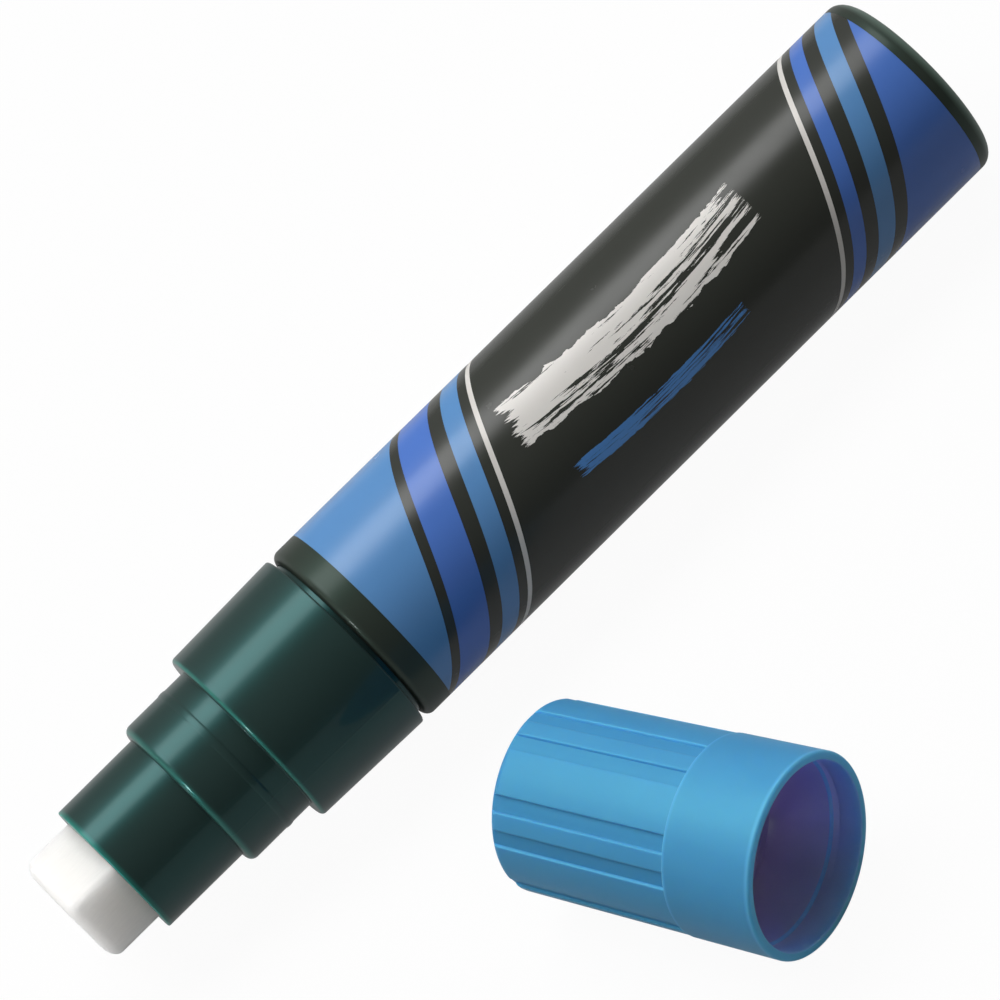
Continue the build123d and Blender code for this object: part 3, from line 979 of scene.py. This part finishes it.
@dataclass
class Cap(SubAssembly):
    """The push-on cap with pairs of shallow grip grooves, and the soft cup inside it.

    A ring is a plain row of points beside a rounded corner, which keeps the shading of a long wall flat.
    """

    length: float = 37.5
    mouth_radius: float = 12.5
    end_radius: float = 11.85
    end_rounding: float = 1.2
    band_length: float = 12.2
    band_height: float = 0.1
    band_rounding: float = 0.05
    band_ring: float = 0.4
    step_run: float = 0.06
    lip_rounding: float = 0.35
    lip_ring: float = 0.8
    mouth_rounding: float = 0.2
    mouth_ring: float = 1.2
    bore_radius: float = 11.37
    bore_length: float = 13.0
    bore_rounding: float = 0.1
    inner_radius: float = 10.32
    inner_depth: float = 36.2
    inner_rounding: float = 0.3
    snap_start: float = 3.08
    snap_length: float = 1.1
    snap_depth: float = 0.25
    snap_rounding: float = 0.08
    shoulder: float = 0.2
    groove_pairs: int = 6
    groove_depth: float = 0.4
    groove_arc: float = 10.4
    groove_spread: float = 21.5
    groove_turn: float = -14.6
    # Degrees outside a groove's edge, with how far the wall is sunk there as a share
    groove_wall: tuple[tuple[float, float], ...] = (
        (1.2, 0), (0.45, 0), (0.15, 0.12), (-0.1, 0.6), (-0.3, 0.95), (-0.7, 1))
    groove_inner: float = 2.5
    land_columns: int = 4
    # How much painted light each thin edge takes as a share, and how far from the edge
    brink_light: float = 0.6
    brink_reach: float = 0.6
    band_light: float = 0.7
    band_reach: float = 0.2
    lip_reach: float = 0.36
    bore_light: float = 0.95
    bore_reach: float = 9.0
    bore_fade: float = 1.3
    shoulder_before: float = 0.05
    shoulder_after: float = 0.1
    radius_slack: float = 1.01
    # Which way a face of the bore looks, and how deep the lip is
    inward_facing: float = -0.3
    mouth_facing: float = -0.5
    lip_depth: float = 1.0
    station: float = 83.01
    aside: float = 72.46
    yaw: float = -66.86

    def place(self) -> Matrix:
        """Gives the cap's place: X into the cap from its mouth, Z up from the wall that it lies on.

        Returns:
            The matrix from the cap's own axes to the shared frame.
        """
        lean = math.atan((self.mouth_radius - self.end_radius) / self.length)
        yaw = math.radians(self.yaw)
        mouthward = Vector((math.cos(yaw) * math.cos(lean), math.sin(yaw) * math.cos(lean), math.sin(lean)))
        sideward = Vector((-math.sin(yaw), math.cos(yaw), 0))
        upward = mouthward.cross(sideward)
        middle = Vector((-self.station, -self.aside, FLOOR_LEVEL)) + upward * self.mouth_radius
        turn = Matrix((-mouthward, -sideward, upward)).transposed().to_4x4()
        return Matrix.Translation(middle * MM) @ turn

    def wall(self, depth: float, sunk: float = 0.0) -> float:
        """The outer radius at a depth, less what the surface is sunk by."""
        return self.mouth_radius - (self.mouth_radius - self.end_radius) / self.length * depth - sunk

    def sole(self, depth: float) -> float:
        """The radius of the grooves' floors at a depth, in metres."""
        return self.wall(depth, self.band_height + self.groove_depth) * MM

    def grooved(self, depth: float) -> bool:
        """Whether a depth is past the plain band, where the grooves run."""
        return depth > self.band_length + self.band_height + self.step_run / 2

    def snap_radius(self) -> float:
        """The radius of the snap groove's floor."""
        return self.bore_radius + self.snap_depth

    def columns(self) -> list[tuple[float, float]]:
        """Spaces the columns of one sector so that the grooves' walls and rounded edges fall between them.

        Returns:
            Degrees from the middle of a pair of grooves, with how far that column is sunk as a share.
        """
        half, middle = self.groove_arc / 2, self.groove_spread / 2
        clear = self.groove_wall[0][0]
        wall = [(half + out, share) for out, share in self.groove_wall] + [(self.groove_inner, 1)]
        groove = [(-a, s) for a, s in wall] + [(0, 1)] + [(a, s) for a, s in reversed(wall)]
        sector = 180 / self.groove_pairs
        count = self.land_columns
        land = [(-sector + k * (sector - middle - half - clear) / count, 0) for k in range(count)]
        between = [(a * (middle - half - clear) / 2, 0) for a in (-1, 0, 1)]
        return (land + [(a - middle, s) for a, s in groove] + between + [(a + middle, s) for a, s in groove]
                + [(-a, s) for a, s in reversed(land[1:])])

    def profile(self) -> list[Corner]:
        """Draws the wall: outside from the closed end to the mouth, and back inside.

        Returns:
            The profile's corners.
        """
        band, start = self.band_length, self.band_length + self.band_height
        foot, near = start + self.step_run, band - self.band_ring
        snap, snap_end = self.snap_radius(), self.snap_start + self.snap_length
        bore, inner = self.bore_radius, self.inner_radius
        return [
            Corner(self.length, 0), Corner(self.length, self.wall(self.length, self.band_height), self.end_rounding),
            Corner(foot, self.wall(foot, self.band_height)), Corner(start, self.wall(start, self.band_height)),
            Corner(band, self.wall(band), self.band_rounding), Corner(near, self.wall(near)),
            Corner(self.lip_ring, self.wall(self.lip_ring)), Corner(0, self.wall(0), self.lip_rounding),
            Corner(0, bore, self.mouth_rounding), Corner(self.mouth_ring, bore),
            Corner(self.snap_start, bore, self.snap_rounding), Corner(self.snap_start, snap, self.snap_rounding),
            Corner(snap_end, snap, self.snap_rounding), Corner(snap_end + self.shoulder, bore, self.bore_rounding),
            Corner(snap_end + 2 * self.shoulder, bore), Corner(self.bore_length, bore, self.bore_rounding),
            Corner(self.bore_length, inner, self.bore_rounding),
            Corner(self.inner_depth, inner, self.inner_rounding), Corner(self.inner_depth, 0),
        ]

    def light(self, depth: float, radius: float, degrees: float) -> float:
        """Says how much painted light a point takes at the wall's thin edges.

        Args:
            depth: Millimetres from the mouth.
            radius: Metres from the cap's axis.
            degrees: The angle from the middle of a pair of grooves.

        Returns:
            The painted light as a share.
        """
        if self.grooved(depth):
            brink = abs(abs(abs(degrees) - self.groove_spread / 2) - self.groove_arc / 2)
            return self.brink_light * max(0.0, 1 - brink / self.brink_reach) if radius > self.sole(depth) else 0.0
        if depth > self.band_length - self.band_reach and radius > self.bore_radius * MM * self.radius_slack:
            return self.band_light
        if depth < self.lip_reach:
            return 1.0
        # Painted light in the bore, paler towards the mouth, and full on the snap groove's shoulder as a painted
        # highlight
        if depth < self.bore_reach and radius < self.snap_radius() * MM * self.radius_slack:
            past = depth - self.snap_start - self.snap_length
            if -self.shoulder_before < past < self.shoulder + self.shoulder_after:
                return 1.0
            return self.bore_light * (1 - depth / self.bore_reach) ** self.bore_fade
        return 0.0

    def sink(self, bm: Mesh, columns: Sequence[tuple[float, float]]) -> None:
        """Moves each column to its angle, sinks those in grooves, and stores the painted light of edges and the
        painted shade of the grooves' floors.

        Args:
            bm: The turned cap.
            columns: The columns of one sector.
        """
        sector = math.tau / self.groove_pairs
        edge, sole = (bm.verts.layers.float.new(name) for name in (PAINTED_EDGE_LIGHT, PAINTED_SOLE_SHADE))
        for vert in bm.verts:
            radius = math.hypot(vert.co.y, vert.co.z)
            if radius < WELD:
                continue
            count = round(math.atan2(vert.co.y, vert.co.z) / math.tau * len(columns) * self.groove_pairs)
            pair, column = divmod(count, len(columns))
            degrees, sunk = columns[column]
            depth = vert.co.x / MM
            # Painted light on the thin edges, the lip and the bore
            vert[edge] = self.light(depth, radius, degrees)
            if self.grooved(depth) and radius > self.sole(depth):
                # The sunk share is also the floor's painted shade
                vert[sole] = sunk
                radius -= (radius - self.sole(depth)) * sunk
            turn = math.radians(self.groove_turn + degrees) + pair * sector
            vert.co = (vert.co.x, math.sin(turn) * radius, math.cos(turn) * radius)

    def in_bore(self, face: bmesh.types.BMFace) -> bool:
        """Tells a face of the bore from one outside.

        Args:
            face: The face.

        Returns:
            Whether it looks inwards, or towards the mouth from inside.
        """
        middle = face.calc_center_median()
        outward = Vector((0, middle.y, middle.z)).normalized().dot(face.normal)
        within = middle.x > self.lip_depth * MM and middle.yz.length < self.snap_radius() * MM
        return outward < self.inward_facing or (face.normal.x < self.mouth_facing and within)

    def build(self) -> None:
        """Turns the cap, sinks its grooves and marks the faces of its bore."""
        columns = self.columns()
        bm = turned(self.profile(), False, len(columns) * self.groove_pairs)
        self.sink(bm, columns)
        bm.normal_update()
        for face in bm.faces:
            # Faces of the bore take the copy with painted shade
            face.material_index = int(self.in_bore(face))
        self.shell = piece_from(bm, "cap_shell", Body.CAP, self.place(), "cap")

    def dress(self) -> None:
        """Gives the cap its plastic outside and a copy with painted shade and light inside, and the cup its soft
        plastic.
        """
        for finish in (BLUE_PLASTIC, BLUE_BORE_PAINTED_SHADE):
            self.shell.data.materials.append(finish.material())
        dress_node("cap_liner", LINER_PLASTIC)


@dataclass(frozen=True)
class Softbox:
    """A soft studio lamp, brighter towards its middle: its place, its target, and its layers' sizes and radiance."""

    name: str
    place: Triple
    target: Triple
    layers: tuple[Triple, ...]
    spread: float = math.pi
    layer_gap: float = 0.01

    def build(self) -> None:
        """Makes one lamp for each layer, each a little in front of the last."""
        way = Vector(self.target) - Vector(self.place)
        for number, (width, height, radiance) in enumerate(self.layers):
            data = bpy.data.lights.new(f"{self.name}_{number}", "AREA")
            data.shape = "RECTANGLE"
            data.size, data.size_y = width, height
            data.energy = radiance * math.pi * width * height
            data.spread = self.spread
            lamp = bpy.data.objects.new(data.name, data)
            bpy.context.scene.collection.objects.link(lamp)
            lamp.location = Vector(self.place) + way.normalized() * number * self.layer_gap
            lamp.rotation_mode = "QUATERNION"
            lamp.rotation_quaternion = way.to_track_quat("-Z", "Y")


@dataclass
class Studio:
    """The pale floor, the lamps, the surroundings and the camera, with places in metres."""

    floor_half: float = 20.0
    floor_white: str = "#a0a0a0"
    floor_glow: float = 0.9
    floor_shine: float = 0.25
    floor_strength: float = 1.06
    front_light: float = 0.1
    back_light: float = 0.8
    back_from: float = -0.12
    back_full: float = 0.35
    fade_from: float = 0.5
    fade_share: float = 0.28
    camera_place: Triple = (-0.153635, -0.473718, 0.545511)
    camera_forward: Triple = (0.108972, 0.65063, -0.751535)
    camera_up: Triple = (0.698259, 0.488002, 0.523727)
    camera_shift: tuple[float, float] = (-0.0005, 0.0005)
    camera_clip: tuple[float, float] = (0.01, 100.0)
    lens: float = 211.363
    sensor: float = 36.0
    softboxes: tuple[Softbox, ...] = (
        Softbox("overhead_softbox", (-0.2, 0.385, 1.03), (-0.2, 0.0, 0.0),
                ((1.2, 0.78, 0.75), (1.1, 0.58, 2.3), (1.1, 0.44, 1.9))),
        Softbox("tip_fill", (-0.43, -0.06, 0.1), (-0.145, 0.0, 0.0), ((0.05, 0.2, 0.4),), math.radians(14)),
        Softbox("mouth_fill", (0.015, -0.3, 0.39), (-0.078, -0.082, -0.006), ((0.08, 0.08, 0.09),),
                math.radians(10)),
    )

    def build(self) -> None:
        """Makes the floor, lamps, surroundings and camera."""
        self.build_floor()
        for lamp in self.softboxes:
            lamp.build()
        self.build_world()
        self.build_camera()
        bpy.context.scene.view_settings.view_transform = "Standard"

    def build_floor(self) -> None:
        """Lays the pale floor, which looks white to the camera and keeps a faint shadow."""
        bm = bmesh.new()
        bmesh.ops.create_grid(bm, x_segments=1, y_segments=1, size=self.floor_half)
        bmesh.ops.translate(bm, vec=(0, 0, FLOOR_LEVEL * MM), verts=bm.verts[:])
        mesh = bpy.data.meshes.new("studio_floor")
        bm.to_mesh(mesh)
        bm.free()
        floor = bpy.data.objects.new("studio_floor", mesh)
        bpy.context.scene.collection.objects.link(floor)
        material, tree = new_material("pale_paper_floor")
        path = add(tree, "LightPath")
        shiny = add(tree, "Math", {0: path.outputs["Is Glossy Ray"], 1: path.outputs["Is Transmission Ray"]},
                    operation="MAXIMUM").outputs[0]
        shiny = add(tree, "Math", {0: shiny, 1: self.floor_shine}, operation="MULTIPLY").outputs[0]
        seen = add(tree, "Math", {0: path.outputs["Is Camera Ray"], 1: self.floor_glow},
                   operation="MULTIPLY").outputs[0]
        glow = add(tree, "Math", {0: seen, 1: shiny}, operation="MAXIMUM").outputs[0]
        paper = add(tree, "BsdfDiffuse", {"Color": linear(self.floor_white)})
        white = add(tree, "Emission", {"Color": WHITE, "Strength": self.floor_strength})
        mixed = add(tree, "MixShader", {0: glow, 1: paper.outputs[0], 2: white.outputs[0]})
        add(tree, "OutputMaterial", {"Surface": mixed.outputs[0]})
        mesh.materials.append(material)

    def build_world(self) -> None:
        """Makes surroundings that are dark on the camera's side, pale beyond the marker and dimmer far behind it."""
        world = bpy.data.worlds.new("studio_surroundings")
        bpy.context.scene.world = world
        world.use_nodes = True
        tree = world.node_tree
        tree.nodes.clear()
        way = add(tree, "SeparateXYZ", {"Vector": add(tree, "TexCoord").outputs["Generated"]})
        behind = add(tree, "MapRange", {"Value": way.outputs["Y"], "From Min": self.back_from,
                                        "From Max": self.back_full, "To Min": self.front_light,
                                        "To Max": self.back_light}, interpolation_type="SMOOTHSTEP")
        fade = add(tree, "MapRange", {"Value": way.outputs["Y"], "From Min": self.fade_from, "To Min": 1.0,
                                      "To Max": self.fade_share}, interpolation_type="SMOOTHSTEP")
        level = add(tree, "Math", {0: behind.outputs["Result"], 1: fade.outputs["Result"]}, operation="MULTIPLY")
        back = add(tree, "Background", {"Color": WHITE, "Strength": level.outputs[0]})
        add(tree, "OutputWorld", {"Surface": back.outputs[0]})

    def build_camera(self) -> None:
        """Sets the camera at the photograph's place and angle."""
        data = bpy.data.cameras.new("photo_camera")
        data.lens, data.sensor_width, data.sensor_fit = self.lens, self.sensor, "HORIZONTAL"
        data.clip_start, data.clip_end = self.camera_clip
        data.shift_x, data.shift_y = self.camera_shift
        camera = bpy.data.objects.new("photo_camera", data)
        bpy.context.scene.collection.objects.link(camera)
        back = -Vector(self.camera_forward).normalized()
        right = Vector(self.camera_up).cross(back).normalized()
        up = back.cross(right)
        turn = Matrix((right, up, back)).transposed().to_4x4()
        camera.matrix_world = Matrix.Translation(self.camera_place) @ turn
        bpy.context.scene.camera = camera


def main() -> None:
    """Builds and dresses every sub-assembly, and lights it."""
    logging.basicConfig(level=logging.INFO, format="%(name)s: %(message)s")
    Studio().build()
    for group in (Barrel(), Mouthpiece(), Nib(), InkValve(), Cap()):
        group.build()
        group.dress()
        for piece in vars(group).values():
            if isinstance(piece, bpy.types.Object):
                log.info("piece %s, %d faces", piece.name, len(piece.data.polygons))


if __name__ == "__main__":
    main()
